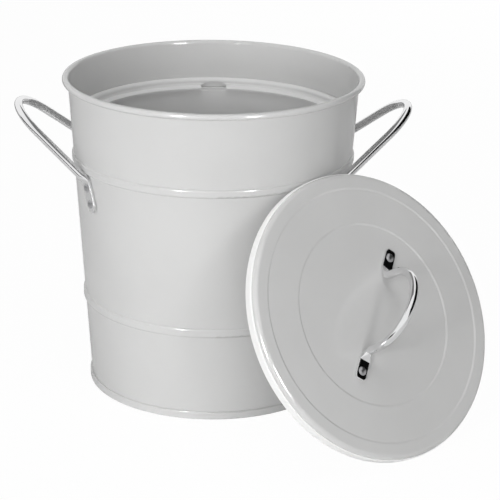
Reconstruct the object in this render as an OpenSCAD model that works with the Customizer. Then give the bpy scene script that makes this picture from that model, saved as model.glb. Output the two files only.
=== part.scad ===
// Kitchen compost caddy: a tapered steel bucket with two rod handles,
// a lift-out inner pail with a carrying bail, and a loose lid with a seal
// and a rod handle. The lid leans against the front of the bucket.
// Millimetres. The origin is on the floor under the middle of the bucket,
// +Z is up, the front of the bucket is -Y and the handles are on +X and -X.

/* [Bucket] */
// outer diameter over the rolled rim
rim_d = 215; // [205:1:225]
// height from the floor to the top of the rim
bucket_h = 227.4; // [222:1:234]
// outer diameter of the folded seam at the foot
foot_d = 180; // [174:1:184]
// thickness of the steel sheet
sheet_t = 0.6; // [0.5:0.05:0.8]
// outer diameter of the rim's roll
roll_d = 4.5; // [4:0.1:5]
// height of the folded seam at the foot
seam_h = 5.6; // [5:0.1:7]
// height of the bottom pan's upper face above the floor
pan_z = 5.2; // [4.6:0.1:5.2]
// height of the upper bead's middle
upper_bead_z = 170; // [169:0.5:174]
// width of the upper bead
upper_bead_w = 6.2; // [5.2:0.1:6.6]
// height of the lower bead's middle
lower_bead_z = 66.6; // [55:1:90]
// width of the lower bead
lower_bead_w = 6.9; // [5.5:0.1:8]
// how far the beads stand out of the wall
bead_proud = 1.35; // [1:0.05:1.5]
// radius of the beads' rounded edges
bead_round_r = 1.8; // [1.4:0.1:2.2]

/* [Side handles] */
// diameter of the handle rod
rod_d = 6; // [5:0.25:6.5]
// angle round the bucket from the handle's middle to each of its tabs
tab_azimuth = 30.9; // [28:0.5:34]
// depth of the point midway between a tab's two rivets below the upper bead
tab_below_bead = 17.25; // [17:0.25:23]
// lean of the tab from the upright, the lower end further out
tab_lean = 18.5; // [14:0.5:22]
// width of the flattened tab
tab_w = 9.5; // [8.5:0.25:10.5]
// thickness of the flattened tab
tab_t = 2.5; // [2:0.1:3]
// distance between the two rivets of a tab
rivet_pitch = 11.6; // [10:0.2:13]
// distance from the lower rivet to the end of the tab
tab_end = 6; // [5.5:0.1:7]
// distance from the upper rivet to the handle's bend
tab_neck = 7.2; // [7:0.1:7.4]
// rise of the handle loop above level
loop_rise = 40; // [35:1:46]
// length of the loop from its bends to the middle of its end
loop_length = 63.5; // [58:0.5:70]
// radius of the loop's round end
loop_r = 34; // [30:0.5:38]
// radius of the bends where the loop meets the tabs
bend_r = 5; // [4.5:0.25:6]

/* [Rivets] */
// diameter of a rivet head
rivet_head_d = 6.2; // [5.2:0.1:6.6]
// height of a rivet head
rivet_head_h = 1.3; // [1:0.1:1.8]
// diameter of a rivet shank
shank_d = 3; // [2.6:0.1:3.2]
// diameter of the formed tail inside
tail_d = 4.8; // [4.4:0.1:5.2]
// thickness of the formed tail
tail_h = 0.9; // [0.7:0.05:1.1]

/* [Inner pail] */
// depth of the pail's lip below the rim's top
lip_below_rim = 27.4; // [24:0.2:31]
// diameter of the lip's round bead
lip_bead_d = 5.2; // [4.8:0.1:5.6]
// gap between the lip and the bucket's wall
lip_gap = 0.4; // [0.35:0.05:1]
// width of the ledge inside the lip
ledge_w = 4.7; // [3.6:0.1:6]
// height of the lip's top above the ledge's outer edge
ledge_drop = 5.4; // [5.3:0.1:7]
// fall of the ledge from its outer edge to its inner edge
ledge_fall = 1.2; // [0.6:0.1:1.4]
// thickness of the pail's wall, ledge and bottom
pail_t = 1.5; // [1.2:0.1:2]
// step from the lip's inner face out to the pail's wall under the ledge
neck_step = 0.5; // [0.3:0.1:1.5]
// gap between the pail's wall and the bucket's wall at the foot
pail_foot_gap = 6.1; // [3:0.1:12]
// radius of the pail's outer bottom corner
pail_corner_r = 5; // [4:0.5:8]
// width of the arched finger notch at the back
notch_w = 19; // [14:1:24]
// height of the arched finger notch above the ledge
notch_h = 3; // [2:0.1:4]

/* [Bail] */
// width of the bail's ring
bail_w = 7.5; // [6:0.25:9]
// thickness of the bail
bail_t = 3; // [2.6:0.1:3]
// gap between the bail's outer edge and the lip
bail_gap = 0.95; // [0.7:0.05:1.2]
// length of the bail's wider grip
grip_l = 50; // [40:1:70]
// extra width of the grip towards the middle
grip_w = 5; // [3:0.5:8]
// diameter of the bail's pins
pin_d = 2.4; // [2:0.1:2.4]
// length of a pin inside its hole
pin_l = 1.8; // [1.4:0.1:2]

/* [Lid] */
// gap between the seal and the bucket's wall when the lid is on
seal_gap = 1; // [0.8:0.1:2]
// how far the seal stands out beyond the lid's steel shoulder
seal_proud = 0.8; // [0.6:0.1:1.4]
// thickness of the lid's sheet
lid_t = 0.8; // [0.6:0.05:1]
// radius of the lid's rounded shoulder
shoulder_r = 3.2; // [2.8:0.1:3.2]
// depth of the lid's steel side below its face
side_h = 3.6; // [3.4:0.1:4]
// depth of the seal's lower face below the lid's face
seal_h = 10; // [9:0.25:12]
// distance of the outer pressed circle from the lid's edge
outer_step_in = 10.7; // [9:0.1:14]
// distance between the two pressed circles
step_pitch = 25.3; // [20:0.1:30]
// depth of each pressed step
step_h = 0.5; // [0.3:0.05:0.8]
// width of each pressed step's slope
step_w = 1.4; // [1:0.1:2.4]
// depth of the seal's centring lip below its lower face
centring_h = 1.8; // [1.2:0.1:1.9]
// direction of the leaning lid round the bucket, from the front towards +X
lid_azimuth = 39.9; // [30:0.5:46]
// rise of the line square to the leaning lid's face
lid_rise = 30.8; // [27:0.2:34]
// offset of the leaning lid to the side of that direction
lid_shift = 9.7; // [0:0.1:12]

/* [Lid handle] */
// distance between the middles of the handle's legs
bow_w = 58.4; // [50:0.4:62]
// height of the round bow's centre above the lid's outer face
bow_z = 11; // [9:0.5:16]
// distance from a leg's bend out to the flattened foot
foot_neck = 3.3; // [3:0.1:5]
// distance from the foot's inner edge to its rivet
foot_rivet = 7.5; // [5.5:0.1:8.5]
// length of each flattened foot
foot_l = 13.5; // [12:0.5:15]
// width of each flattened foot
foot_w = 8.5; // [7.5:0.25:9.5]
// thickness of each flattened foot
foot_t = 2.2; // [1.8:0.1:2.6]
// turn of the handle on the lid
bow_turn = 50; // [0:1:90]

/* [Fits] */
// gap between pieces that are fixed together
seat_gap = 0.05; // [0.03:0.01:0.08]
// clearance all round a pin in its hole
pin_gap = 0.05; // [0.03:0.01:0.09]
// gap between the leaning lid and the floor
floor_gap = 0.3; // [0.2:0.05:0.5]
// gap between the leaning lid and the bucket
lean_gap = 0.3; // [0.3:0.05:1]

/* [Hidden] */
$fn = 96;
rod_r = rod_d / 2;
// bucket
roll_r = roll_d / 2;
roll_z = bucket_h - roll_r;
wall_top_r = rim_d / 2 - roll_d + sheet_t;
seam_t = 1.65;
wall_foot_r = foot_d / 2 - seam_t;
wall_slope = (wall_top_r - wall_foot_r) / roll_z;
draft = atan(wall_slope);
seam_floor_t = 0.8;
leg_t = 1;
curl_gap = 0.8;
seam_round_r = 0.75;
function wall_r(z) = wall_foot_r + wall_slope * z;
function arc_r(width, rise) = (width * width / 4 + rise * rise) / (2 * rise);
beads = [[upper_bead_z, upper_bead_w], [lower_bead_z, lower_bead_w]];
flat_step = 0.03;
function bead_flat(bead) = bead[1] / 2 - sqrt(bead_proud * (2 * bead_round_r - bead_proud));
function bead_r(z, bead) = wall_r(bead[0]) + bead_proud - bead_round_r
    + sqrt(max(0, pow(bead_round_r, 2) - pow(max(0, abs(z - bead[0]) - bead_flat(bead)), 2)));
function outside_r(z) = max([wall_r(z), for (bead = beads) if (abs(z - bead[0]) < bead[1]) bead_r(z, bead)]);
// side handles, worked out for the front tab of the +X handle
radial = [cos(tab_azimuth), -sin(tab_azimuth), 0];
around = [sin(tab_azimuth), cos(tab_azimuth), 0];
tab_z = upper_bead_z - tab_below_bead;
wall_up = sin(draft) * radial + [0, 0, cos(draft)];
wall_out = cos(draft) * radial - [0, 0, sin(draft)];
tab_up = cos(tab_lean) * wall_up + sin(tab_lean) * around;
tab_reach = rivet_pitch / 2 + tab_neck;
tab_drop = rivet_pitch / 2 + tab_end;
bend_rod_r = rod_r + 0.04;
joint_l = 0.3;
rod_offset = bend_rod_r + seat_gap;
bend_at = wall_r(tab_z) * radial + [0, 0, tab_z] + tab_reach * tab_up + rod_offset * wall_out;
loop_up = [cos(loop_rise), 0, sin(loop_rise)];
loop_centre = loop_length - loop_r;
loop_far = norm([loop_centre, bend_at[1]]);
converge = atan2(-bend_at[1], loop_centre) - asin(loop_r / loop_far);
arm_l = sqrt(loop_far * loop_far - loop_r * loop_r);
arm_up = cos(converge) * loop_up + sin(converge) * [0, 1, 0];
bend_turn = acos(tab_up * arm_up);
bend_l = bend_r * tan(bend_turn / 2);
neck_l = 2;
tab_round_r = tab_w / 2;
// rivets
shank_r = shank_d / 2;
hole_r = shank_r + pin_gap;
// inner pail
lip_r = lip_bead_d / 2;
lip_z = bucket_h - lip_below_rim;
lip_centre_z = lip_z - lip_r;
lip_centre_r = wall_r(lip_centre_z) - sheet_t - lip_gap - lip_r;
lip_inner_r = lip_centre_r - lip_r;
web_r = lip_inner_r + 0.35;
web_foot_r = lip_inner_r - 0.3;
ledge_r = lip_inner_r - ledge_w;
ledge_z = lip_z - ledge_drop;
ledge_under_z = ledge_z - pail_t;
pail_z = pan_z + seat_gap;
neck_r = lip_inner_r - neck_step;
pail_foot_r = wall_r(pail_z) - sheet_t - pail_foot_gap;
pail_draft = atan((neck_r - pail_foot_r) / (ledge_under_z - pail_z));
corner_x = pail_foot_r + pail_corner_r * tan(pail_draft) - pail_corner_r / cos(pail_draft);
notch_arc_r = arc_r(notch_w, notch_h);
notch_depth = 1.2;
// bail
bail_r = lip_inner_r - bail_gap;
bail_rest_gap = 0.1;
bail_z = ledge_z + bail_rest_gap + bail_t / 2;
pin_r = pin_d / 2;
pin_end_gap = 0.2;
// lid
seal_r = wall_r(lip_z) - sheet_t - seal_gap;
lid_r = seal_r - seal_proud;
outer_step_r = lid_r - outer_step_in;
inner_step_r = outer_step_r - step_pitch;
shoulder_x = lid_r - shoulder_r;
round_step = 0.05;
skirt_r = lid_r - 1.9;
skirt_h = 8;
seal_top_gap = 0.1;
centring_gap = 0.75;
centring_r = lip_inner_r - centring_gap;
centring_t = 2.2;
seal_inner_r = centring_r - centring_t;
face_z = -2 * step_h;
// the leaning lid just clears the floor, and its back edge just clears the bucket
lid_z = floor_gap + seal_h * sin(lid_rise) + seal_r * cos(lid_rise);
function edge_side(a) = seal_r * sin(a) + lid_shift;
function edge_z(a) = lid_z - seal_h * sin(lid_rise) + seal_r * cos(a) * cos(lid_rise);
function edge_back(a) = seal_h * cos(lid_rise) + seal_r * cos(a) * sin(lid_rise);
lid_out = max([for (a = [-40:0.5:40])
    sqrt(pow(outside_r(edge_z(a)) + lean_gap, 2) - pow(edge_side(a), 2)) + edge_back(a)]);
lid_x = lid_out * sin(lid_azimuth) + lid_shift * cos(lid_azimuth);
lid_y = -lid_out * cos(lid_azimuth) + lid_shift * sin(lid_azimuth);
// lid handle
bow_r = bow_w / 2;
heel_r = 4;
heel_x = bow_r + heel_r;
heel_z = face_z + seat_gap + rod_r;
foot_x = heel_x + foot_neck;
foot_pitch = 2 * (foot_x + foot_rivet);
foot_round_r = 3;
slice_t = 0.02;

// ---- shared shapes ----

// upright block with four round corners, from its lower left corner
module round_block(width, height, radius) {
    translate([radius, 0])
        square([width - 2 * radius, height]);
    translate([0, radius])
        square([width, height - 2 * radius]);
    for (x = [radius, width - radius], y = [radius, height - radius])
        translate([x, y])
            circle(radius);
}

// straight piece of rod between two points
module rod_between(from, to) {
    way = to - from;
    translate(from)
        rotate([0, acos(way[2] / norm(way)), atan2(way[1], way[0])])
            cylinder(h = norm(way), r = rod_r);
}

// bend of the rod at a corner, from one direction into another
module rod_bend(corner, way_in, way_out) {
    axis = cross(way_in, way_out) / sin(bend_turn);
    inward = cross(axis, way_in);
    middle = corner - bend_l * way_in + bend_r * inward;
    multmatrix([
        [-inward[0], way_in[0], axis[0], middle[0]],
        [-inward[1], way_in[1], axis[1], middle[1]],
        [-inward[2], way_in[2], axis[2], middle[2]]])
        rotate_extrude(angle = bend_turn)
            translate([bend_r, 0])
                circle(bend_rod_r);
}

// domed rivet with a formed tail, its sheets between z = 0 and z = -grip
module rivet(grip) {
    dome_r = arc_r(rivet_head_d, rivet_head_h);
    color("gainsboro") {
        intersection() {
            translate([0, 0, rivet_head_h - dome_r])
                sphere(dome_r);
            cylinder(h = rivet_head_h + 1, r = rivet_head_d / 2 + 1);
        }
        translate([0, 0, -grip - tail_h])
            cylinder(h = grip + tail_h, r = shank_r);
        translate([0, 0, -grip - tail_h])
            cylinder(h = tail_h, r = tail_d / 2);
    }
}

// places things on the front tab of the +X handle: X up the tab, Z out of the wall
module on_tab() {
    rotate([0, 0, -tab_azimuth])
        translate([wall_r(tab_z), 0, tab_z])
            rotate([0, 90 + draft, 0])
                rotate([0, 0, 180 - tab_lean])
                    children();
}

// repeats things at a tab's two rivets
module at_rivets() {
    for (x = [-rivet_pitch / 2, rivet_pitch / 2])
        translate([x, 0, 0])
            children();
}

// ---- bucket ----

// half outline of the bucket's wall with its beads and rolled rim
module shell_outline() {
    foot_z = seam_floor_t + seat_gap;
    difference() {
        union() {
            polygon([
                [wall_r(foot_z) - sheet_t, foot_z],
                [wall_r(foot_z), foot_z],
                [wall_r(roll_z), roll_z],
                [wall_r(roll_z) - sheet_t, roll_z]]);
            translate([rim_d / 2 - roll_r, roll_z])
                circle(roll_r);
            for (bead = beads)
                intersection() {
                    bead_outline(bead, 0);
                    outside_wall(bead[0] - bead[1], bead[0] + bead[1]);
                }
        }
        for (bead = beads)
            bead_outline(bead, sheet_t);
        translate([rim_d / 2 - roll_r, roll_z])
            circle(roll_r - sheet_t);
        polygon([
            [wall_r(roll_z - roll_d) + seat_gap, roll_z - roll_d],
            [wall_r(roll_z - roll_d) + seat_gap + curl_gap, roll_z - roll_d],
            [wall_r(roll_z) + seat_gap + curl_gap, roll_z],
            [wall_r(roll_z) + seat_gap, roll_z]]);
    }
}

// outline of the space outside the middle of the wall's sheet, between two heights
module outside_wall(from_z, to_z) {
    polygon([
        [wall_r(from_z) - sheet_t / 2, from_z],
        [wall_r(to_z) + to_z - from_z, from_z],
        [wall_r(to_z) + to_z - from_z, to_z],
        [wall_r(to_z) - sheet_t / 2, to_z]]);
}

// outline of a flat bead with round edges, or of its hollow when it is inset
module bead_outline(bead, inset) {
    radius = bead_round_r - inset;
    translate([wall_r(bead[0]) + bead_proud - bead_round_r, bead[0]]) {
        for (side = [-1, 1])
            translate([0, side * bead_flat(bead)])
                circle(radius);
        square([2 * (radius - flat_step), 2 * bead_flat(bead)], center = true);
    }
}

// tapered steel wall with a rolled rim and two beads
module bucket_shell() {
    color("gainsboro")
        difference() {
            rotate_extrude()
                shell_outline();
            for (x = [0, 1], y = [0, 1])
                mirror([x, 0, 0])
                    mirror([0, y, 0])
                        on_tab()
                            at_rivets()
                                translate([0, 0, -tail_d])
                                    cylinder(h = 2 * tail_d, r = hole_r);
        }
}

// bottom pan whose folded edge grips the foot of the wall
module bucket_base() {
    leg_x = wall_r(0) - sheet_t - seat_gap - leg_t;
    color("gainsboro")
        rotate_extrude()
            difference() {
                union() {
                    translate([leg_x, 0])
                        round_block(leg_t + sheet_t, pan_z, seam_round_r);
                    translate([leg_x, 0])
                        round_block(foot_d / 2 - leg_x, leg_t + 2 * seam_round_r, seam_round_r);
                    translate([wall_r(0) - sheet_t / 2, 0])
                        round_block(foot_d / 2 - wall_r(0) + sheet_t / 2, seam_h, seam_round_r);
                    translate([0, pan_z - sheet_t])
                        square([leg_x + leg_t / 2, sheet_t]);
                    translate([leg_x, pan_z - leg_t])
                        square([leg_t, leg_t]);
                }
                polygon([
                    [wall_r(seam_floor_t) - sheet_t - seat_gap, seam_floor_t],
                    [wall_r(seam_floor_t) + seat_gap, seam_floor_t],
                    [wall_r(seam_h + 1) + seat_gap, seam_h + 1],
                    [wall_r(seam_h + 1) - sheet_t - seat_gap, seam_h + 1]]);
            }
}

// ---- side handles ----

// flattened tab with its two rivet holes, and its neck up to the round rod
module handle_tab() {
    flat_x = tab_reach - bend_l - neck_l;
    difference() {
        union() {
            translate([0, 0, seat_gap])
                linear_extrude(tab_t) {
                    translate([tab_round_r - tab_drop, -tab_w / 2])
                        square([flat_x + tab_drop - tab_round_r, tab_w]);
                    translate([tab_round_r - tab_drop, 0])
                        circle(tab_round_r);
                }
            hull() {
                translate([flat_x - slice_t, -tab_w / 2, seat_gap])
                    cube([slice_t, tab_w, tab_t]);
                translate([flat_x + neck_l, 0, rod_offset])
                    rotate([0, 90, 0])
                        cylinder(h = joint_l, r = rod_r, $fn = 32);
            }
        }
        at_rivets()
            translate([0, 0, -1])
                cylinder(h = rod_d, r = hole_r);
    }
}

// rod handle: two riveted tabs, two arms and a round end
module side_handle() {
    color("silver") {
        for (y = [0, 1])
            mirror([0, y, 0]) {
                on_tab()
                    handle_tab();
                rod_bend(bend_at, tab_up, arm_up);
                rod_between(bend_at + (bend_l - joint_l) * arm_up, bend_at + (arm_l + joint_l) * arm_up);
            }
        translate([bend_at[0], 0, bend_at[2]])
            rotate([0, -loop_rise, 0])
                translate([loop_centre, 0, 0])
                    rotate([0, 0, converge - 90])
                        rotate_extrude(angle = 180 - 2 * converge)
                            translate([loop_r, 0])
                                circle(bend_rod_r);
    }
}

// the two rivets of the front tab of the +X handle
module tab_rivets() {
    on_tab()
        at_rivets()
            translate([0, 0, tab_t + 2 * seat_gap])
                rivet(tab_t + sheet_t + 4 * seat_gap);
}

module right_handle() {
    side_handle();
}

module left_handle() {
    mirror([1, 0, 0])
        side_handle();
}

module right_front_rivets() {
    tab_rivets();
}

module right_rear_rivets() {
    mirror([0, 1, 0])
        tab_rivets();
}

module left_front_rivets() {
    mirror([1, 0, 0])
        tab_rivets();
}

module left_rear_rivets() {
    mirror([1, 0, 0])
        mirror([0, 1, 0])
            tab_rivets();
}

// ---- inner pail ----

// half outline of the pail's body, or of its inside when it is inset
module pail_outline(inset) {
    radius = pail_corner_r - inset;
    top_z = ledge_under_z + pail_t / 3 + inset;
    translate([corner_x, pail_z + pail_corner_r])
        circle(radius);
    polygon([
        [0, pail_z + inset],
        [corner_x, pail_z + inset],
        [corner_x + radius * cos(pail_draft), pail_z + pail_corner_r - radius * sin(pail_draft)],
        [neck_r + inset * (tan(pail_draft) - 1 / cos(pail_draft)), top_z],
        [0, top_z]]);
}

// half outline of the pail's ledge and the web that carries its round lip
module ledge_outline() {
    polygon([
        [ledge_r, ledge_z - ledge_fall],
        [web_foot_r, ledge_z],
        [web_r, lip_centre_z],
        [lip_centre_r, lip_centre_z],
        [lip_centre_r, ledge_under_z],
        [web_r, ledge_under_z],
        [ledge_r, ledge_under_z - ledge_fall]]);
}

// arched cut for the finger notch, inwards from a distance behind the middle, above a height
module finger_notch(back_y, bottom_z) {
    translate([0, back_y, 0])
        rotate([90, 0, 0])
            linear_extrude(notch_w / 2)
                intersection() {
                    translate([0, ledge_z + notch_h - notch_arc_r])
                        circle(notch_arc_r);
                    translate([-notch_w / 2, bottom_z])
                        square([notch_w, notch_w]);
                }
}

// moulded pail with a round lip, an inner ledge and a finger notch at the back
module liner_pail() {
    color("lightgray")
        difference() {
            union() {
                rotate_extrude()
                    difference() {
                        pail_outline(0);
                        pail_outline(pail_t);
                    }
                rotate_extrude()
                    ledge_outline();
                rotate_extrude()
                    translate([lip_centre_r, lip_centre_z])
                        circle(lip_r);
            }
            finger_notch(neck_r - pail_t, ledge_under_z - ledge_fall - 1);
            finger_notch(lip_inner_r + notch_depth, ledge_under_z);
            translate([0, 0, bail_z])
                rotate([0, 90, 0])
                    cylinder(h = 2 * (web_r + pin_l + pin_end_gap), r = pin_r + pin_gap, center = true);
        }
}

// half-ring bail with a wider grip, lying forward on the ledge
module liner_bail() {
    color("lightgray")
        translate([0, 0, bail_z]) {
            linear_extrude(bail_t, center = true)
                difference() {
                    circle(bail_r);
                    difference() {
                        circle(bail_r - bail_w);
                        difference() {
                            translate([-grip_l / 2, -bail_r])
                                square([grip_l, bail_r]);
                            circle(bail_r - bail_w - grip_w);
                        }
                    }
                    translate([-bail_r, 0])
                        square([2 * bail_r, bail_r]);
                }
            for (x = [0, 1])
                mirror([x, 0, 0])
                    rotate([0, 90, 0]) {
                        translate([0, 0, bail_r - bail_w])
                            cylinder(h = bail_w - bail_t / 4, r = bail_t / 2);
                        translate([0, 0, bail_r - bail_w])
                            cylinder(h = web_r + pin_l - bail_r + bail_w, r = pin_r);
                    }
        }
}

// ---- lid ----

// places things on the leaning lid: Z out of its face, Y up its slope
module on_lid() {
    translate([lid_x, lid_y, lid_z])
        rotate([0, 0, lid_azimuth])
            rotate([90 - lid_rise, 0, 0])
                children();
}

// solid form of the lid's upper side, or of its hollow underside when it is inset
module lid_form(inset) {
    rotate_extrude()
        translate([shoulder_x, -shoulder_r])
            circle(shoulder_r - inset);
    rotate_extrude()
        polygon([
            [0, face_z - inset],
            [inner_step_r - step_w / 2, face_z - inset],
            [inner_step_r + step_w / 2, -step_h - inset],
            [outer_step_r - step_w / 2, -step_h - inset],
            [outer_step_r + step_w / 2, -inset],
            [shoulder_x - round_step, -inset],
            [shoulder_x - round_step, -side_h],
            [0, -side_h]]);
}

// the part of something on the lid that lies above a height
module lid_above(z) {
    intersection() {
        children();
        translate([0, 0, z])
            cylinder(h = 1 - z, r = lid_r + 1);
    }
}

// pressed lid with two sunk circles, a round shoulder and a skirt for the seal
module lid_panel() {
    color("gainsboro")
        on_lid()
            difference() {
                union() {
                    lid_above(-side_h)
                        lid_form(0);
                    translate([0, 0, -side_h])
                        cylinder(h = side_h - shoulder_r - round_step, r = lid_r);
                    translate([0, 0, -skirt_h])
                        cylinder(h = skirt_h - side_h + lid_t / 2, r = skirt_r);
                }
                lid_above(lid_t - side_h)
                    lid_form(lid_t);
                translate([0, 0, -skirt_h - 1])
                    cylinder(h = skirt_h + 1 + (face_z - side_h) / 2, r = skirt_r - lid_t);
                rotate([0, 0, bow_turn])
                    for (x = [-foot_pitch / 2, foot_pitch / 2])
                        translate([x, 0, face_z - 2 * lid_t])
                            cylinder(h = 3 * lid_t, r = hole_r);
            }
}

// soft ring pushed over the lid's skirt, with a lip that centres it in the pail
module lid_seal() {
    top_z = -side_h - seal_top_gap;
    color("white")
        on_lid()
            rotate_extrude()
                difference() {
                    union() {
                        translate([skirt_r - 2 * lid_t, -seal_h])
                            round_block(seal_r - skirt_r + 2 * lid_t, seal_h + top_z, 0.8);
                        translate([seal_inner_r, -seal_h])
                            round_block(seal_r - seal_inner_r - 1, 5, 0.8);
                        translate([seal_inner_r, -seal_h - centring_h])
                            round_block(centring_t, centring_h + 4, 0.8);
                    }
                    translate([skirt_r - lid_t - seat_gap, -skirt_h - seat_gap])
                        square([lid_t + 2 * seat_gap, skirt_h]);
                }
}

// round bow of rod with two flattened feet
module lid_handle() {
    color("silver")
        on_lid()
            rotate([0, 0, bow_turn]) {
                translate([0, 0, bow_z])
                    rotate([90, 0, 0])
                        rotate_extrude(angle = 180)
                            translate([bow_r, 0])
                                circle(rod_r);
                for (x = [0, 1])
                    mirror([x, 0, 0]) {
                        translate([bow_r, 0, heel_z + heel_r])
                            cylinder(h = bow_z - heel_z - heel_r, r = rod_r);
                        translate([heel_x, 0, heel_z + heel_r])
                            rotate([90, 0, 0])
                                rotate([0, 0, 180])
                                    rotate_extrude(angle = 90)
                                        translate([heel_r, 0])
                                            circle(rod_r);
                        lid_foot();
                    }
            }
}

// flattened foot of the lid handle with its rivet hole and its neck
module lid_foot() {
    foot_z = face_z + seat_gap;
    difference() {
        union() {
            translate([foot_x, -foot_w / 2, foot_z])
                linear_extrude(foot_t) {
                    round_block(foot_l, foot_w, foot_round_r);
                    square([foot_l / 2, foot_w]);
                }
            hull() {
                translate([foot_x, -foot_w / 2, foot_z])
                    cube([slice_t, foot_w, foot_t]);
                translate([heel_x, 0, heel_z])
                    rotate([0, 90, 0])
                        cylinder(h = slice_t, r = rod_r, $fn = 32);
            }
        }
        translate([foot_pitch / 2, 0, face_z])
            cylinder(h = rod_d, r = hole_r);
    }
}

// one rivet of the lid handle, on the upper or the lower side
module lid_rivet(side) {
    on_lid()
        rotate([0, 0, bow_turn])
            translate([side * foot_pitch / 2, 0, face_z + foot_t + 2 * seat_gap])
                rivet(foot_t + lid_t + 3 * seat_gap);
}

module lid_upper_rivet() {
    lid_rivet(1);
}

module lid_lower_rivet() {
    lid_rivet(-1);
}

bucket_shell();
bucket_base();
left_handle();
right_handle();
left_front_rivets();
left_rear_rivets();
right_front_rivets();
right_rear_rivets();
liner_pail();
liner_bail();
lid_panel();
lid_seal();
lid_handle();
lid_upper_rivet();
lid_lower_rivet();
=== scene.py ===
# %% [markdown]
# # A kitchen compost caddy
# The object is a tapered steel bucket in pale grey powder coat, with two bright rod handles,
# a lift-out plastic pail and a loose lid that leans against its front.
# The construction model gives every solid its size and place. This lesson dresses it: it sets
# up the camera, makes each finish, draws the three handles again with a finer surface than the
# construction solids have, and last adds the floor, the lamps and the cards.

# %% Load the construction model
import math

import bpy
from mathutils import Matrix, Vector


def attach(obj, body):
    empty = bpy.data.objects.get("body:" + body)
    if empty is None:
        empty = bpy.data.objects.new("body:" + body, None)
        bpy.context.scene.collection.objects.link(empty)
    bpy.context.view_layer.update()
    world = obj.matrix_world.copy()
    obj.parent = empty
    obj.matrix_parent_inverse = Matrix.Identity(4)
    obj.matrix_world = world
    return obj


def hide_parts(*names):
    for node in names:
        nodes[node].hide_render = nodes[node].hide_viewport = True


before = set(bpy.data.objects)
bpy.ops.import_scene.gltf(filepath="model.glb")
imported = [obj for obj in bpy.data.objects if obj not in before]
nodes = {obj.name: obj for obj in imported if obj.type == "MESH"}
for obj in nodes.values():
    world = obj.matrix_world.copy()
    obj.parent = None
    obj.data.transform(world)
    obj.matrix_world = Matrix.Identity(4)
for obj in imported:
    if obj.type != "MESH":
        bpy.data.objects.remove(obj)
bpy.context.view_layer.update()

# %% [markdown]
# The construction model counts in millimetres and Blender in metres. One small helper turns
# millimetres into metres, so that the numbers below read like the ones on a drawing.

# %% Millimetres to metres
MM = 0.001


def mm(x, y, z):
    """A point given in millimetres, as a vector in metres."""
    return Vector((x, y, z)) * MM


print("a rim at 227.4 mm lies at", round(mm(0, 0, 227.4).z, 4), "m")

# %% [markdown]
# ## The camera
# A product photograph is taken with a long lens from well back, so that round rims stay round.
# Place, lens and tilt are the ones that make the drawn rim, foot, beads and lid fall on
# their outlines in the photograph. The three turns are kept as separate angles, because each one
# has a plain meaning: how far the camera looks down, how far it looks aside, and how far it leans.

# %% Camera
CAMERA_PLACE = mm(0, -1367.60, 578.24)
LOOK_DOWN = 0.3393
LOOK_ASIDE = 0.0201
LEAN = -0.0148
LENS = 142.61
SENSOR = 36


def camera_turn(down, aside, lean):
    """Rotation of a camera that looks along +Y, turned aside, tipped down and leaned."""
    level_part = math.cos(down)
    ahead = Vector((math.sin(aside) * level_part, math.cos(aside) * level_part, -math.sin(down)))
    level = Vector((math.cos(aside), -math.sin(aside), 0))
    upright = level.cross(ahead)
    right = math.cos(lean) * level - math.sin(lean) * upright
    top = math.sin(lean) * level + math.cos(lean) * upright
    return Matrix((right, top, -ahead)).transposed()


lens = bpy.data.cameras.new("photo_camera")
lens.lens = LENS
lens.sensor_width = SENSOR
lens.clip_start = 0.05
lens.clip_end = 30
camera = bpy.data.objects.new("photo_camera", lens)
bpy.context.collection.objects.link(camera)
turn = camera_turn(LOOK_DOWN, LOOK_ASIDE, LEAN)
camera.matrix_world = Matrix.Translation(CAMERA_PLACE) @ turn.to_4x4()
bpy.context.scene.camera = camera
bpy.context.scene.view_settings.view_transform = "Standard"
print("camera stands", round(CAMERA_PLACE.length, 3), "m from the bucket's foot")

# %% [markdown]
# ## Small helpers for shader nodes
# Every finish below is a little network of shader nodes. Two helpers keep the networks short:
# one adds a node with its settings, and one opens a new material with its main shader ready.

# %% Node helpers
def add_node(tree, kind, **settings):
    """A new node in a tree, with its plain settings made."""
    made = tree.nodes.new(kind)
    for name, value in settings.items():
        setattr(made, name, value)
    return made


def new_finish(name):
    """A material with an empty network apart from its main shader and its output."""
    finish = bpy.data.materials.new(name)
    finish.use_nodes = True
    tree = finish.node_tree
    tree.nodes.clear()
    shader = add_node(tree, "ShaderNodeBsdfPrincipled")
    output = add_node(tree, "ShaderNodeOutputMaterial")
    tree.links.new(shader.outputs["BSDF"], output.inputs["Surface"])
    return finish, tree, shader


print("node helpers ready")

# %% [markdown]
# ## Effects that several finishes share
# Powder coat, moulded plastic and silicone all have a fine dimpled skin, and no surface is
# perfectly even in colour and gloss. Each of these two effects is built once as a node group,
# and every material sets its own size and strength. A group hands out only masks
# and heights: the shader itself stays in the material.

# %% Group for a fine dimpled skin
def new_value_group(name, inputs, output):
    """Node group with plain number sockets: inputs with their usual values, and one output."""
    group = bpy.data.node_groups.new(name, "ShaderNodeTree")
    for label, usual in inputs.items():
        socket = group.interface.new_socket(label, in_out="INPUT", socket_type="NodeSocketFloat")
        socket.default_value = usual
    group.interface.new_socket(output, in_out="OUTPUT", socket_type="NodeSocketFloat")
    return group


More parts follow.
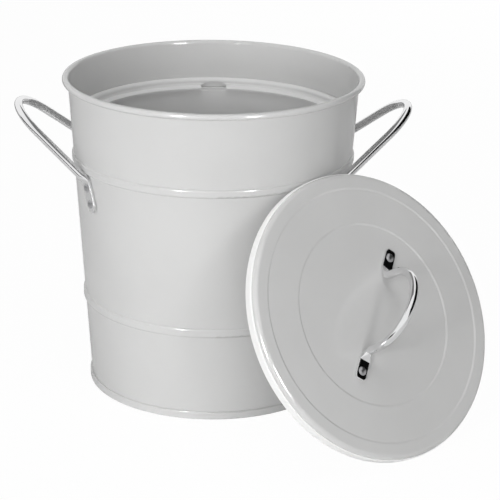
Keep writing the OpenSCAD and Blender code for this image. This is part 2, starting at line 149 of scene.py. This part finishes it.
def build_dimpled_skin():
    """Node group: small soft dimples of a given size, as a height from 0 to 1."""
    group = new_value_group("dimpled_skin", {"Dimples per metre": 600, "Fine share": 0.3}, "Height")
    inner = add_node(group, "NodeGroupInput")
    outer = add_node(group, "NodeGroupOutput")
    place = add_node(group, "ShaderNodeTexCoord")
    coarse = add_node(group, "ShaderNodeTexNoise", noise_dimensions="3D")
    coarse.inputs["Detail"].default_value = 1
    grain = add_node(group, "ShaderNodeTexVoronoi", feature="SMOOTH_F1")
    grain.inputs["Smoothness"].default_value = 1
    blend = add_node(group, "ShaderNodeMix", data_type="FLOAT")
    group.links.new(place.outputs["Object"], coarse.inputs["Vector"])
    group.links.new(place.outputs["Object"], grain.inputs["Vector"])
    group.links.new(inner.outputs["Dimples per metre"], coarse.inputs["Scale"])
    group.links.new(inner.outputs["Dimples per metre"], grain.inputs["Scale"])
    group.links.new(inner.outputs["Fine share"], blend.inputs["Factor"])
    group.links.new(coarse.outputs["Fac"], blend.inputs["A"])
    group.links.new(grain.outputs["Distance"], blend.inputs["B"])
    group.links.new(blend.outputs["Result"], outer.inputs["Height"])
    return group


dimpled_skin = build_dimpled_skin()
print("group:", dimpled_skin.name, "with", len(dimpled_skin.nodes), "nodes")

# %% [markdown]
# The second effect is broader: soft patches, like the slight differences from place to place
# that spraying, moulding or plating leaves. A smooth step spreads the noise over the whole range
# from 0 to 1, so that both tones of a finish really show.

# %% Group for cloudy unevenness
def build_soft_clouds():
    """Node group: broad soft patches, as a mask from 0 to 1."""
    group = new_value_group("soft_clouds", {"Patches per metre": 12, "Detail": 3}, "Mask")
    inner = add_node(group, "NodeGroupInput")
    outer = add_node(group, "NodeGroupOutput")
    place = add_node(group, "ShaderNodeTexCoord")
    clouds = add_node(group, "ShaderNodeTexNoise", noise_dimensions="3D")
    spread = add_node(group, "ShaderNodeMapRange", interpolation_type="SMOOTHSTEP")
    spread.inputs["From Min"].default_value = 0.3
    spread.inputs["From Max"].default_value = 0.7
    group.links.new(place.outputs["Object"], clouds.inputs["Vector"])
    group.links.new(inner.outputs["Patches per metre"], clouds.inputs["Scale"])
    group.links.new(inner.outputs["Detail"], clouds.inputs["Detail"])
    group.links.new(clouds.outputs["Fac"], spread.inputs["Value"])
    group.links.new(spread.outputs["Result"], outer.inputs["Mask"])
    return group


soft_clouds = build_soft_clouds()
print("group:", soft_clouds.name, "with", len(soft_clouds.nodes), "nodes")

# %% [markdown]
# Both effects go into a material the same way, so one helper does it: the clouds shift the colour
# and the gloss between two close values, and the dimples lift the surface by a real height.

# %% Helper that lays the shared effects into a finish
def place_group(tree, group, **values):
    """A node that uses a group, with its own values."""
    node = add_node(tree, "ShaderNodeGroup", node_tree=group)
    for name, value in values.items():
        node.inputs[name.replace("_", " ")].default_value = value
    return node


def cloud_colour(tree, shader, mask, dark, light):
    """Varies the base colour between two close tones by a mask."""
    tones = add_node(tree, "ShaderNodeMix", data_type="RGBA")
    tones.inputs["A"].default_value = (*dark, 1)
    tones.inputs["B"].default_value = (*light, 1)
    tree.links.new(mask, tones.inputs["Factor"])
    tree.links.new(tones.outputs["Result"], shader.inputs["Base Color"])


def cloud_gloss(tree, shader, mask, low, high):
    """Varies the roughness between two close values by a mask."""
    gloss = add_node(tree, "ShaderNodeMapRange")
    gloss.inputs["To Min"].default_value = low
    gloss.inputs["To Max"].default_value = high
    tree.links.new(mask, gloss.inputs["Value"])
    tree.links.new(gloss.outputs["Result"], shader.inputs["Roughness"])


def lift_surface(tree, shader, height, depth):
    """Turns a height from 0 to 1 into a relief of the given depth in metres."""
    relief = add_node(tree, "ShaderNodeBump")
    relief.inputs["Strength"].default_value = 1
    relief.inputs["Distance"].default_value = depth
    tree.links.new(height, relief.inputs["Height"])
    tree.links.new(relief.outputs["Normal"], shader.inputs["Normal"])


print("effect helpers ready")

# %% [markdown]
# ## Powder coat
# The bucket and the lid are sprayed with a pale grey powder that melts into a smooth, glossy skin.
# Up close it has a very shallow dimpled relief like orange peel, a few millimetres from dimple
# to dimple. It mirrors its surroundings faintly.

# %% Grey powder coat
PAINT_DARK = (0.600, 0.600, 0.597)
PAINT_LIGHT = (0.622, 0.622, 0.619)

grey_paint, tree, shader = new_finish("grey_powder_coat")
shader.inputs["IOR"].default_value = 1.5
clouds = place_group(tree, soft_clouds, Patches_per_metre=14, Detail=3)
peel = place_group(tree, dimpled_skin, Dimples_per_metre=420, Fine_share=0.25)
cloud_colour(tree, shader, clouds.outputs["Mask"], PAINT_DARK, PAINT_LIGHT)
cloud_gloss(tree, shader, clouds.outputs["Mask"], low=0.1, high=0.13)
lift_surface(tree, shader, peel.outputs["Height"], depth=0.000006)
print("finish:", grey_paint.name)

# %% [markdown]
# ## Moulded plastic
# The inner pail is moulded in the same pale grey, but a plain mould leaves a satin skin: broader,
# softer highlights than the paint has. A fine grain breaks them up a little.

# %% Pail plastic
pail_plastic, tree, shader = new_finish("pail_plastic")
shader.inputs["IOR"].default_value = 1.49
clouds = place_group(tree, soft_clouds, Patches_per_metre=20, Detail=2)
skin = place_group(tree, dimpled_skin, Dimples_per_metre=1500, Fine_share=0.6)
cloud_colour(tree, shader, clouds.outputs["Mask"], (0.71, 0.71, 0.707), (0.735, 0.735, 0.732))
cloud_gloss(tree, shader, clouds.outputs["Mask"], low=0.38, high=0.45)
lift_surface(tree, shader, skin.outputs["Height"], depth=0.000008)
print("finish:", pail_plastic.name)

# %% [markdown]
# ## Silicone
# The seal is soft white silicone. It is matt and slightly waxy, and light enters it a little
# before it comes back, which softens its small edges.

# %% White silicone
white_seal, tree, shader = new_finish("white_silicone")
shader.inputs["IOR"].default_value = 1.42
shader.inputs["Subsurface Weight"].default_value = 0.15
shader.inputs["Subsurface Radius"].default_value = (1, 0.95, 0.9)
shader.inputs["Subsurface Scale"].default_value = 0.001
clouds = place_group(tree, soft_clouds, Patches_per_metre=30, Detail=2)
skin = place_group(tree, dimpled_skin, Dimples_per_metre=1800, Fine_share=0.5)
cloud_colour(tree, shader, clouds.outputs["Mask"], (0.86, 0.86, 0.855), (0.89, 0.89, 0.885))
cloud_gloss(tree, shader, clouds.outputs["Mask"], low=0.38, high=0.46)
lift_surface(tree, shader, skin.outputs["Height"], depth=0.000006)
print("finish:", white_seal.name)

# %% [markdown]
# ## Bright rod
# The handles are steel rod, bent, flattened at the ends and plated. The plating is a near
# mirror, so nearly all of its look comes from what it reflects. Two faint things keep it from
# being a perfect mirror: a slight waviness left by the bending, and a gloss that changes a little
# from place to place.

# %% Bright plating
bright_plating, tree, shader = new_finish("bright_plating")
shader.inputs["Metallic"].default_value = 1
clouds = place_group(tree, soft_clouds, Patches_per_metre=60, Detail=4)
cloud_colour(tree, shader, clouds.outputs["Mask"], (0.78, 0.78, 0.785), (0.82, 0.82, 0.825))
cloud_gloss(tree, shader, clouds.outputs["Mask"], low=0.035, high=0.08)
waves = place_group(tree, dimpled_skin, Dimples_per_metre=110, Fine_share=0)
lift_surface(tree, shader, waves.outputs["Height"], depth=0.000008)
print("finish:", bright_plating.name)

# %% [markdown]
# The rivets are of a darker metal than the plating, and hammering leaves their heads duller.

# %% Rivet metal
rivet_metal, tree, shader = new_finish("rivet_metal")
shader.inputs["Metallic"].default_value = 1
clouds = place_group(tree, soft_clouds, Patches_per_metre=500, Detail=3)
cloud_colour(tree, shader, clouds.outputs["Mask"], (0.4, 0.4, 0.41), (0.48, 0.48, 0.49))
cloud_gloss(tree, shader, clouds.outputs["Mask"], low=0.3, high=0.38)
marks = place_group(tree, dimpled_skin, Dimples_per_metre=900, Fine_share=0.5)
lift_surface(tree, shader, marks.outputs["Height"], depth=0.00003)
print("finish:", rivet_metal.name)

# %% [markdown]
# ## Finishes on the construction solids
# Pieces whose form is right as it stands keep their solid and only get their finish.

# %% Give the solids their finishes
FINISHES = {
    "bucket_shell": grey_paint,
    "bucket_base": grey_paint,
    "lid_panel": grey_paint,
    "lid_seal": white_seal,
    "liner_pail": pail_plastic,
    "liner_bail": pail_plastic,
    "left_handle": bright_plating,
    "right_handle": bright_plating,
    "lid_handle": bright_plating,
    "left_front_rivets": rivet_metal,
    "left_rear_rivets": rivet_metal,
    "right_front_rivets": rivet_metal,
    "right_rear_rivets": rivet_metal,
    "lid_upper_rivet": rivet_metal,
    "lid_lower_rivet": rivet_metal,
}
for name, finish in FINISHES.items():
    mesh = nodes[name].data
    mesh.materials.clear()
    mesh.materials.append(finish)
print("finished nodes:", len(FINISHES), "of", len(nodes))

# %% [markdown]
# ## Rods that are flattened at the ends
# All three handles are made in the same way in the workshop: a length of round rod is bent, and
# its ends are pressed flat under a hammer so that rivets can hold them. The construction solids
# make the step from round to flat with a few straight facets. Bright plating mirrors every
# facet, so here each handle is drawn again as a smooth skin over a row of rings. A ring has four
# rounded corners. Round rod is the case where the corners are so round that they meet, and flat
# bar is the case where they are small, so one kind of ring can turn slowly from one into the
# other.

# %% One ring of a rod
CORNER_STEPS = 6


def ring_outline(half_wide, half_thick, corner):
    """Points round one section of the rod: half its width and thickness, and its corner radius."""
    corner = min(corner, half_wide, half_thick)
    points = []
    for quarter in range(4):
        middle_x = (half_wide - corner) * (1 if quarter in (0, 3) else -1)
        middle_y = (half_thick - corner) * (1 if quarter in (0, 1) else -1)
        for step in range(CORNER_STEPS):
            angle = math.radians(90 * (quarter + (step + 0.5) / CORNER_STEPS))
            x = middle_x + corner * math.cos(angle)
            y = middle_y + corner * math.sin(angle)
            points.append((x, y))
    return points


print("a ring has", len(ring_outline(3, 3, 3)), "points")

# %% [markdown]
# The rings stand square to the rod's path. Each ring takes its sideways direction from the ring
# before it and turns it as little as it can, so the skin never twists. Then neighbouring rings
# are joined by four-sided faces, and a subdivision surface rounds the whole skin off.

# %% Skin over a row of rings
SMOOTH_LEVELS = 2
MERGE_WITHIN = 0.05 * MM


def rod_skin(name, path, sizes, sideways):
    """Mesh over rings along a path in millimetres. The path's last point has no ring of its own."""
    corners, faces = [], []
    for i, (place, (half_wide, half_thick, corner)) in enumerate(zip(path[:-1], sizes)):
        ahead = (path[i + 1] - path[max(i - 1, 0)]).normalized()
        sideways = (sideways - sideways.dot(ahead) * ahead).normalized()
        outward = ahead.cross(sideways)
        for x, y in ring_outline(half_wide, half_thick, corner):
            corners.append((place + x * sideways + y * outward) * MM)
    count = 4 * CORNER_STEPS
    rings = len(corners) // count
    for i in range(rings - 1):
        for j in range(count):
            a, b = i * count + j, i * count + (j + 1) % count
            faces.append((a, b, b + count, a + count))
    faces.append(tuple(range(count))[::-1])
    mesh = bpy.data.meshes.new(name)
    mesh.from_pydata(corners, [], faces)
    mesh.validate()
    mesh.polygons.foreach_set("use_smooth", [True] * len(mesh.polygons))
    return mesh


def half_and_half(name, mesh, axis, finish):
    """Object from a half mesh: a mirror makes the other half, and a subdivision smooths both."""
    mesh.materials.append(finish)
    piece = bpy.data.objects.new(name, mesh)
    bpy.context.collection.objects.link(piece)
    mirror = piece.modifiers.new("other_half", "MIRROR")
    mirror.use_axis = [letter == axis for letter in "XYZ"]
    mirror.merge_threshold = MERGE_WITHIN
    smooth = piece.modifiers.new("smooth_skin", "SUBSURF")
    smooth.levels = SMOOTH_LEVELS
    smooth.render_levels = SMOOTH_LEVELS
    return piece


print("rod helpers ready")

# %% [markdown]
# ## The side handles
# A side handle starts as a flat tab on the bucket's wall, leans a little towards the middle as it
# climbs, turns outwards in a tight bend, runs along a straight arm and ends in a half round.
# The numbers are the construction model's, in millimetres, for the front half of the right
# handle: the tab's middle on the wall, its upward direction, the wall's outward direction, and
# the place of the bend. The rings stand closer together where the section changes.

# %% Path of a side handle
ROD_R = 3.0
TAB_MIDDLE = Vector((84.688, -50.685, 152.75))
TAB_UP = Vector((0.21794, 0.23936, 0.94616))
WALL_OUT = Vector((0.85610, -0.51237, -0.06758))
TAB_BOTTOM, TAB_TOP, BEND_TURN = -11.8, 11.37, math.radians(36.15)
TAB_HALF_W, TAB_HALF_T, TAB_EDGE = 4.75, 1.25, 0.55
BEND_R = 5.0
ARM = Vector((0.70693, 0.38519, 0.59319))
LOOP_RISE, LOOP_R, LOOP_OUT = math.radians(40), 34.0, 29.5
LOOP_START, LOOP_FOOT, LOOP_STEPS = math.radians(-67.34), 13.0, 10
TAB_TIP_SQUARED = 0.3
TAB_END_SLIM, TAB_END_LENGTH = 0.6, 0.5
FLAT_TO, FLAT_FADE = 9.2, 6.5
BEND_STEPS = 5
CLEAR = 0.05
TAB_RINGS = (0, 0.12, 0.3, 0.6, 1.1, 1.9, 3, 4.75, 8, 12, 16, 19, 20.5, 21.5, 22.4, 23.17)
ARM_RINGS = (1.5, 3, 5, 10, 17, 24, 31, 38)


def ease(value):
    """Smooth step from 0 to 1."""
    value = min(max(value, 0), 1)
    return value * value * (3 - 2 * value)


def rod_to_flat(flatness, half_wide, half_thick, corner):
    """Ring between round rod, at flatness 0, and the given flat bar, at flatness 1."""
    return tuple(ROD_R + (flat - ROD_R) * flatness for flat in (half_wide, half_thick, corner))


def end_thickness(half_thick, from_end, slim, length):
    """Half thickness near an end: a share of the full one at the edge, growing over a length."""
    return half_thick * (slim + (1 - slim) * ease(from_end / length))


def tab_ring(along):
    """Half width, half thickness and corner of the tab at a distance along it, round at its end."""
    from_end = along - TAB_BOTTOM
    flatness = 1 - ease((along - FLAT_TO) / FLAT_FADE)
    half_wide, half_thick, corner = rod_to_flat(flatness, TAB_HALF_W, TAB_HALF_T, TAB_EDGE)
    if from_end < TAB_HALF_W:
        squared = TAB_HALF_W ** 2 - (TAB_HALF_W - from_end) ** 2
        half_wide = math.sqrt(max(squared, TAB_TIP_SQUARED))
        half_thick = end_thickness(TAB_HALF_T, from_end, TAB_END_SLIM, TAB_END_LENGTH)
    return half_wide, half_thick, corner


def side_handle_path():
    """Ring places and sizes of the front half of the right handle, in millimetres."""
    path, sizes = [], []
    for from_end in TAB_RINGS:
        ring = tab_ring(TAB_BOTTOM + from_end)
        path.append(TAB_MIDDLE + (TAB_BOTTOM + from_end) * TAB_UP + (CLEAR + ring[1]) * WALL_OUT)
        sizes.append(ring)
    inward = (ARM - ARM.dot(TAB_UP) * TAB_UP).normalized()
    axis = TAB_UP.cross(inward)
    bend_start = TAB_MIDDLE + TAB_TOP * TAB_UP + (CLEAR + ROD_R) * WALL_OUT
    bend_middle = bend_start + BEND_R * inward
    for step in range(1, BEND_STEPS + 1):
        turn = Matrix.Rotation(BEND_TURN * step / BEND_STEPS, 3, axis)
        ring = tab_ring(TAB_TOP + BEND_R * BEND_TURN * step / BEND_STEPS)
        sink = (ROD_R - ring[1]) * (turn @ WALL_OUT)
        path.append(bend_middle + turn @ (-BEND_R * inward) - sink)
        sizes.append(ring)
    arm_start = bend_middle + Matrix.Rotation(BEND_TURN, 3, axis) @ (-BEND_R * inward)
    for along in ARM_RINGS:
        ring = tab_ring(TAB_TOP + BEND_R * BEND_TURN + along)
        path.append(arm_start + along * ARM)
        sizes.append(ring)
    out = Vector((math.cos(LOOP_RISE), 0, math.sin(LOOP_RISE)))
    foot = TAB_MIDDLE + LOOP_FOOT * TAB_UP + (CLEAR + ROD_R) * WALL_OUT
    middle = Vector((foot.x, 0, foot.z)) + LOOP_OUT * out
    for step in range(LOOP_STEPS + 1):
        angle = LOOP_START * (1 - step / LOOP_STEPS)
        round_way = math.cos(angle) * out + math.sin(angle) * Vector((0, 1, 0))
        path.append(middle + LOOP_R * round_way)
        sizes.append((ROD_R, ROD_R, ROD_R))
    path.append(Matrix.Diagonal((1, -1, 1)) @ path[-2])
    return path, sizes


half_path, half_sizes = side_handle_path()
print("half a side handle has", len(half_sizes), "rings")
print("its outermost ring is at", tuple(round(c, 1) for c in half_path[-2]), "mm")

# %% [markdown]
# The left handle is the right one mirrored, and a modifier mirrors each half handle from front to
# back, so only one half has to be drawn. A new piece takes the place of its construction solid,
# rides on the bucket like the solid did, and carries its finish.

# %% Make both side handles
for name, side in (("right_rod_handle", 1), ("left_rod_handle", -1)):
    flip = Matrix.Diagonal((side, 1, 1))
    sideways = flip @ TAB_UP.cross(WALL_OUT)
    skin = rod_skin(name, [flip @ place for place in half_path], half_sizes, sideways)
    piece = half_and_half(name, skin, "Y", bright_plating)
    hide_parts(name.replace("_rod", ""))
    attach(piece, "bucket")
print("side handles made")

# %% [markdown]
# ## The lid's handle
# The lid carries a round bow on two flat feet. It is drawn upright, on a lid that lies flat at
# the origin, because its numbers are plain there: the feet point outwards along X and the bow
# rises along Z. A single matrix then carries it to the leaning lid, turned on it by half a right
# angle and a bit more, as the photograph shows.

# %% Place of the lid
LID_MIDDLE = mm(110.722, -117.301, 91.571)
LID_AZIMUTH, LID_RISE, BOW_TURN = math.radians(39.9), math.radians(30.8), math.radians(50)
on_lid = (Matrix.Translation(LID_MIDDLE) @ Matrix.Rotation(LID_AZIMUTH, 4, "Z")
          @ Matrix.Rotation(math.pi / 2 - LID_RISE, 4, "X") @ Matrix.Rotation(BOW_TURN, 4, "Z"))
print("the lid faces", tuple(round(c, 3) for c in on_lid.to_3x3() @ Vector((0, 0, 1))))

# %% [markdown]
# From its outer end inwards, half a handle is a flat foot with rounded corners, a tight heel
# where the rod rises, and a quarter of the round bow. The numbers are in millimetres again.
# Heights count from the edge of the lid's face, and the sheet under the feet lies a little lower.

# %% Path of the lid's handle
FACE = -1.0
FOOT_HALF_W, FOOT_HALF_T, FOOT_EDGE, FOOT_ROUND = 4.25, 1.1, 0.45, 3.0
FOOT_OUTER, FOOT_INNER = 50.0, 36.5
FOOT_END_SLIM, FOOT_END_LENGTH, FOOT_FADE = 0.65, 0.45, 6
BOW_R, BOW_MIDDLE, BOW_STEPS = 29.2, 11.0, 15
HEEL_R, HEEL_STEPS = 4.0, 6
FOOT_RINGS = (0, 0.12, 0.3, 0.6, 1.1, 1.9, 3, 6, 10, 12.7, 13.5, 14.3, 15.2, 16.1, 16.8)


def foot_ring(from_end):
    """Half width, half thickness and corner of the foot at a distance from its outer end."""
    flatness = 1 - ease((from_end - (FOOT_OUTER - FOOT_INNER)) / FOOT_FADE)
    half_wide, half_thick, corner = rod_to_flat(flatness, FOOT_HALF_W, FOOT_HALF_T, FOOT_EDGE)
    if from_end < FOOT_ROUND:
        rounding = math.sqrt(FOOT_ROUND ** 2 - (FOOT_ROUND - from_end) ** 2)
        half_wide = FOOT_HALF_W - FOOT_ROUND + rounding
        half_thick = end_thickness(FOOT_HALF_T, from_end, FOOT_END_SLIM, FOOT_END_LENGTH)
    return half_wide, half_thick, corner


def lid_handle_path():
    """Ring places and sizes of one half of the lid's handle, in millimetres over the lid."""
    path, sizes = [], []
    for from_end in FOOT_RINGS:
        ring = foot_ring(from_end)
        path.append(Vector((FOOT_OUTER - from_end, 0, FACE + CLEAR + ring[1])))
        sizes.append(ring)
    heel_x, heel_z = BOW_R + HEEL_R, FACE + CLEAR + ROD_R + HEEL_R
    for step in range(1, HEEL_STEPS + 1):
        angle = math.radians(90 * step / HEEL_STEPS)
        ring = foot_ring(FOOT_RINGS[-1] + HEEL_R * angle)
        drop = HEEL_R * math.cos(angle) + (ROD_R - ring[1]) * math.cos(angle)
        path.append(Vector((heel_x - HEEL_R * math.sin(angle), 0, heel_z - drop)))
        sizes.append(ring)
    for step in range(BOW_STEPS + 1):
        angle = math.radians(90 * step / BOW_STEPS)
        path.append(Vector((BOW_R * math.cos(angle), 0, BOW_MIDDLE + BOW_R * math.sin(angle))))
        sizes.append((ROD_R, ROD_R, ROD_R))
    path.append(Vector((-path[-2].x, 0, path[-2].z)))
    return path, sizes


bow_path, bow_sizes = lid_handle_path()
skin = rod_skin("lid_bow_handle", bow_path, bow_sizes, Vector((0, 1, 0)))
piece = half_and_half("lid_bow_handle", skin, "X", bright_plating)
piece.matrix_world = on_lid
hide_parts("lid_handle")
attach(piece, "lid")
print("the bow rises", round(BOW_MIDDLE + BOW_R + ROD_R, 1), "mm over the lid's edge")

# %% [markdown]
# ## The floor and the light around the object
# The photograph has a plain white surround. The floor is a broad pale sheet, and what the camera
# sees of it is mostly a steady white, with a little of the floor's real shading mixed in, which
# leaves a trace of the object's shadow.

# %% Floor
FLOOR_HALF = 4.0
FLOOR_HEIGHT = -0.0002
FLOOR_GREY = 0.9
STEADY_WHITE = 0.97


def sheet_mesh(name, half_wide, half_long, height=0):
    """Mesh of one flat rectangle, in metres."""
    x, y = half_wide, half_long
    mesh = bpy.data.meshes.new(name)
    places = [(-x, -y, height), (x, -y, height), (x, y, height), (-x, y, height)]
    mesh.from_pydata(places, [], [(0, 1, 2, 3)])
    return mesh


floor_mesh = sheet_mesh("studio_floor", FLOOR_HALF, FLOOR_HALF, FLOOR_HEIGHT)
floor = bpy.data.objects.new("studio_floor", floor_mesh)
bpy.context.collection.objects.link(floor)
floor_white = bpy.data.materials.new("studio_white")
floor_white.use_nodes = True
tree = floor_white.node_tree
tree.nodes.clear()
paper = add_node(tree, "ShaderNodeBsdfDiffuse")
paper.inputs["Color"].default_value = (FLOOR_GREY, FLOOR_GREY, FLOOR_GREY, 1)
glow = add_node(tree, "ShaderNodeEmission")
glow.inputs["Strength"].default_value = 1
rays = add_node(tree, "ShaderNodeLightPath")
share = add_node(tree, "ShaderNodeMath", operation="MULTIPLY")
share.inputs[1].default_value = STEADY_WHITE
mixed = add_node(tree, "ShaderNodeMixShader")
output = add_node(tree, "ShaderNodeOutputMaterial")
tree.links.new(rays.outputs["Is Camera Ray"], share.inputs[0])
tree.links.new(share.outputs["Value"], mixed.inputs["Fac"])
tree.links.new(paper.outputs["BSDF"], mixed.inputs[1])
tree.links.new(glow.outputs["Emission"], mixed.inputs[2])
tree.links.new(mixed.outputs["Shader"], output.inputs["Surface"])
floor_mesh.materials.append(floor_white)
print("floor is", 2 * FLOOR_HALF, "m wide")

# %% [markdown]
# Past the floor there is only the world. Light Path tells which rays look at it: those from the
# camera, from reflections and through glass find plain white, and all others find a faint even
# fill.

# %% World
FILL = 0.02
world = bpy.data.worlds.new("studio_surround")
bpy.context.scene.world = world
world.use_nodes = True
tree = world.node_tree
tree.nodes.clear()
rays = add_node(tree, "ShaderNodeLightPath")
seen = add_node(tree, "ShaderNodeMath", operation="ADD")
seen_all = add_node(tree, "ShaderNodeMath", operation="ADD", use_clamp=True)
fill = add_node(tree, "ShaderNodeBackground")
fill.inputs["Color"].default_value = (1, 1, 1, 1)
fill.inputs["Strength"].default_value = FILL
white = add_node(tree, "ShaderNodeBackground")
white.inputs["Color"].default_value = (1, 1, 1, 1)
white.inputs["Strength"].default_value = 1
mixed = add_node(tree, "ShaderNodeMixShader")
output = add_node(tree, "ShaderNodeOutputWorld")
tree.links.new(rays.outputs["Is Camera Ray"], seen.inputs[0])
tree.links.new(rays.outputs["Is Glossy Ray"], seen.inputs[1])
tree.links.new(seen.outputs["Value"], seen_all.inputs[0])
tree.links.new(rays.outputs["Is Transmission Ray"], seen_all.inputs[1])
tree.links.new(seen_all.outputs["Value"], mixed.inputs["Fac"])
tree.links.new(fill.outputs["Background"], mixed.inputs[1])
tree.links.new(white.outputs["Background"], mixed.inputs[2])
tree.links.new(mixed.outputs["Shader"], output.inputs["Surface"])
print("fill strength:", FILL)

# %% [markdown]
# ## Lamps
# Most of the light is broad and soft: one large soft box over the camera, one to the left, one
# overhead and one behind, which keeps the far side readable. Two narrow lamps stand 27 degrees
# to the left and 29 to the right. In the photograph the paint mirrors each of them as a short
# bright dash on every bead and on the rim, and the lid's bow throws one soft shadow from each,
# so their places can be read from it. All six are hidden from reflections, where the bright
# surround stands for them. The dashes get lamps of their own in the next step.

# %% Soft boxes
MIDDLE = mm(30, -40, 110)
LEFT_SIDE, LEFT_RISE = -27, 13
RIGHT_SIDE, RIGHT_RISE = 29, 16


def bearing(side, rise):
    """Direction from the object, in degrees to the right of the camera's side and upwards."""
    side, rise = math.radians(side), math.radians(rise)
    level_part = math.cos(rise)
    return Vector((math.sin(side) * level_part, -math.cos(side) * level_part, math.sin(rise)))


def face_back(way, distance):
    """Matrix that stands a thing at a distance on a bearing, with its face to the object."""
    facing = way.to_track_quat("Z", "Y").to_matrix().to_4x4()
    return Matrix.Translation(MIDDLE + distance * way) @ facing


def softbox(name, side, rise, distance, width, height, power):
    """Area lamp that faces the object from a bearing and doesn't show in reflections."""
    data = bpy.data.lights.new(name, "AREA")
    data.shape = "RECTANGLE"
    data.size = width
    data.size_y = height
    data.energy = power
    lamp = bpy.data.objects.new(name, data)
    bpy.context.collection.objects.link(lamp)
    lamp.matrix_world = face_back(bearing(side, rise), distance)
    lamp.visible_glossy = False
    return lamp


softbox("front_softbox", 0, 16, 2.2, 2.0, 1.3, 18)
softbox("side_softbox", -70, 20, 1.6, 1.0, 1.0, 6.0)
softbox("overhead_softbox", 0, 80, 1.6, 1.2, 1.2, 10.8)
softbox("back_softbox", 155, 14, 1.8, 1.6, 0.8, 11)
softbox("left_lamp", LEFT_SIDE, LEFT_RISE, 1.7, 0.25, 0.45, 6.5)
softbox("right_lamp", RIGHT_SIDE, RIGHT_RISE, 1.7, 0.2, 0.45, 3.3)

# %% [markdown]
# Paint mirrors only a few parts in a hundred of what it sees, so a dash that is white in the
# photograph comes from a very bright lamp. Such lamps would flood the object with light. So each
# narrow lamp gets a strong twin just in front of it, which shows in reflections only and,
# through light linking, only in the painted steel.

# %% Glints for the painted steel
painted_steel = bpy.data.collections.new("painted_steel")
for name, finish in FINISHES.items():
    if finish == grey_paint:
        painted_steel.objects.link(nodes[name])
for name, side, rise in (("left_glint", LEFT_SIDE, LEFT_RISE),
                         ("right_glint", RIGHT_SIDE, RIGHT_RISE)):
    glint = softbox(name, side, rise, distance=1.69, width=0.2, height=0.35, power=38)
    glint.visible_glossy = True
    glint.visible_diffuse = False
    glint.light_linking.receiver_collection = painted_steel

# %% [markdown]
# Bright metal needs something dark to mirror, or it turns into white paper. Photographers stand
# cards around the object for that. A grey one hangs low over the bucket's mouth and darkens the
# upper side of the side handles. A large black one stands to the right, where the lid's flat feet
# and the outer edge of the bow look, and a low black one stands to the left for the edges of the
# left handle. All are there for reflections only, so that they take no light away.

# %% Cards for the reflections
def card(name, place, width, height, finish):
    """Card at a place given by a matrix. It shows in reflections only."""
    mesh = sheet_mesh(name, width / 2, height / 2)
    mesh.materials.append(finish)
    sheet = bpy.data.objects.new(name, mesh)
    bpy.context.collection.objects.link(sheet)
    sheet.matrix_world = place
    sheet.visible_camera = False
    sheet.visible_diffuse = False
    sheet.visible_shadow = False


def card_finish(name, grey):
    """A card's finish that shows the same grey from everywhere."""
    finish = bpy.data.materials.new(name)
    finish.use_nodes = True
    tree = finish.node_tree
    tree.nodes.clear()
    tone = add_node(tree, "ShaderNodeEmission")
    tone.inputs["Color"].default_value = (grey, grey, grey, 1)
    output = add_node(tree, "ShaderNodeOutputMaterial")
    tree.links.new(tone.outputs["Emission"], output.inputs["Surface"])
    return finish


card_black = card_finish("card_black", 0.004)
card_grey = card_finish("card_grey", 0.22)
card("mouth_card", Matrix.Translation(mm(0, -33, 300)), 0.28, 0.27, card_grey)
card("right_card", face_back(bearing(89, 29), 1.3), 3.2, 1.25, card_black)
card("left_card", face_back(bearing(-72, 5), 1.3), 1.7, 0.3, card_black)
print("cards stand ready")
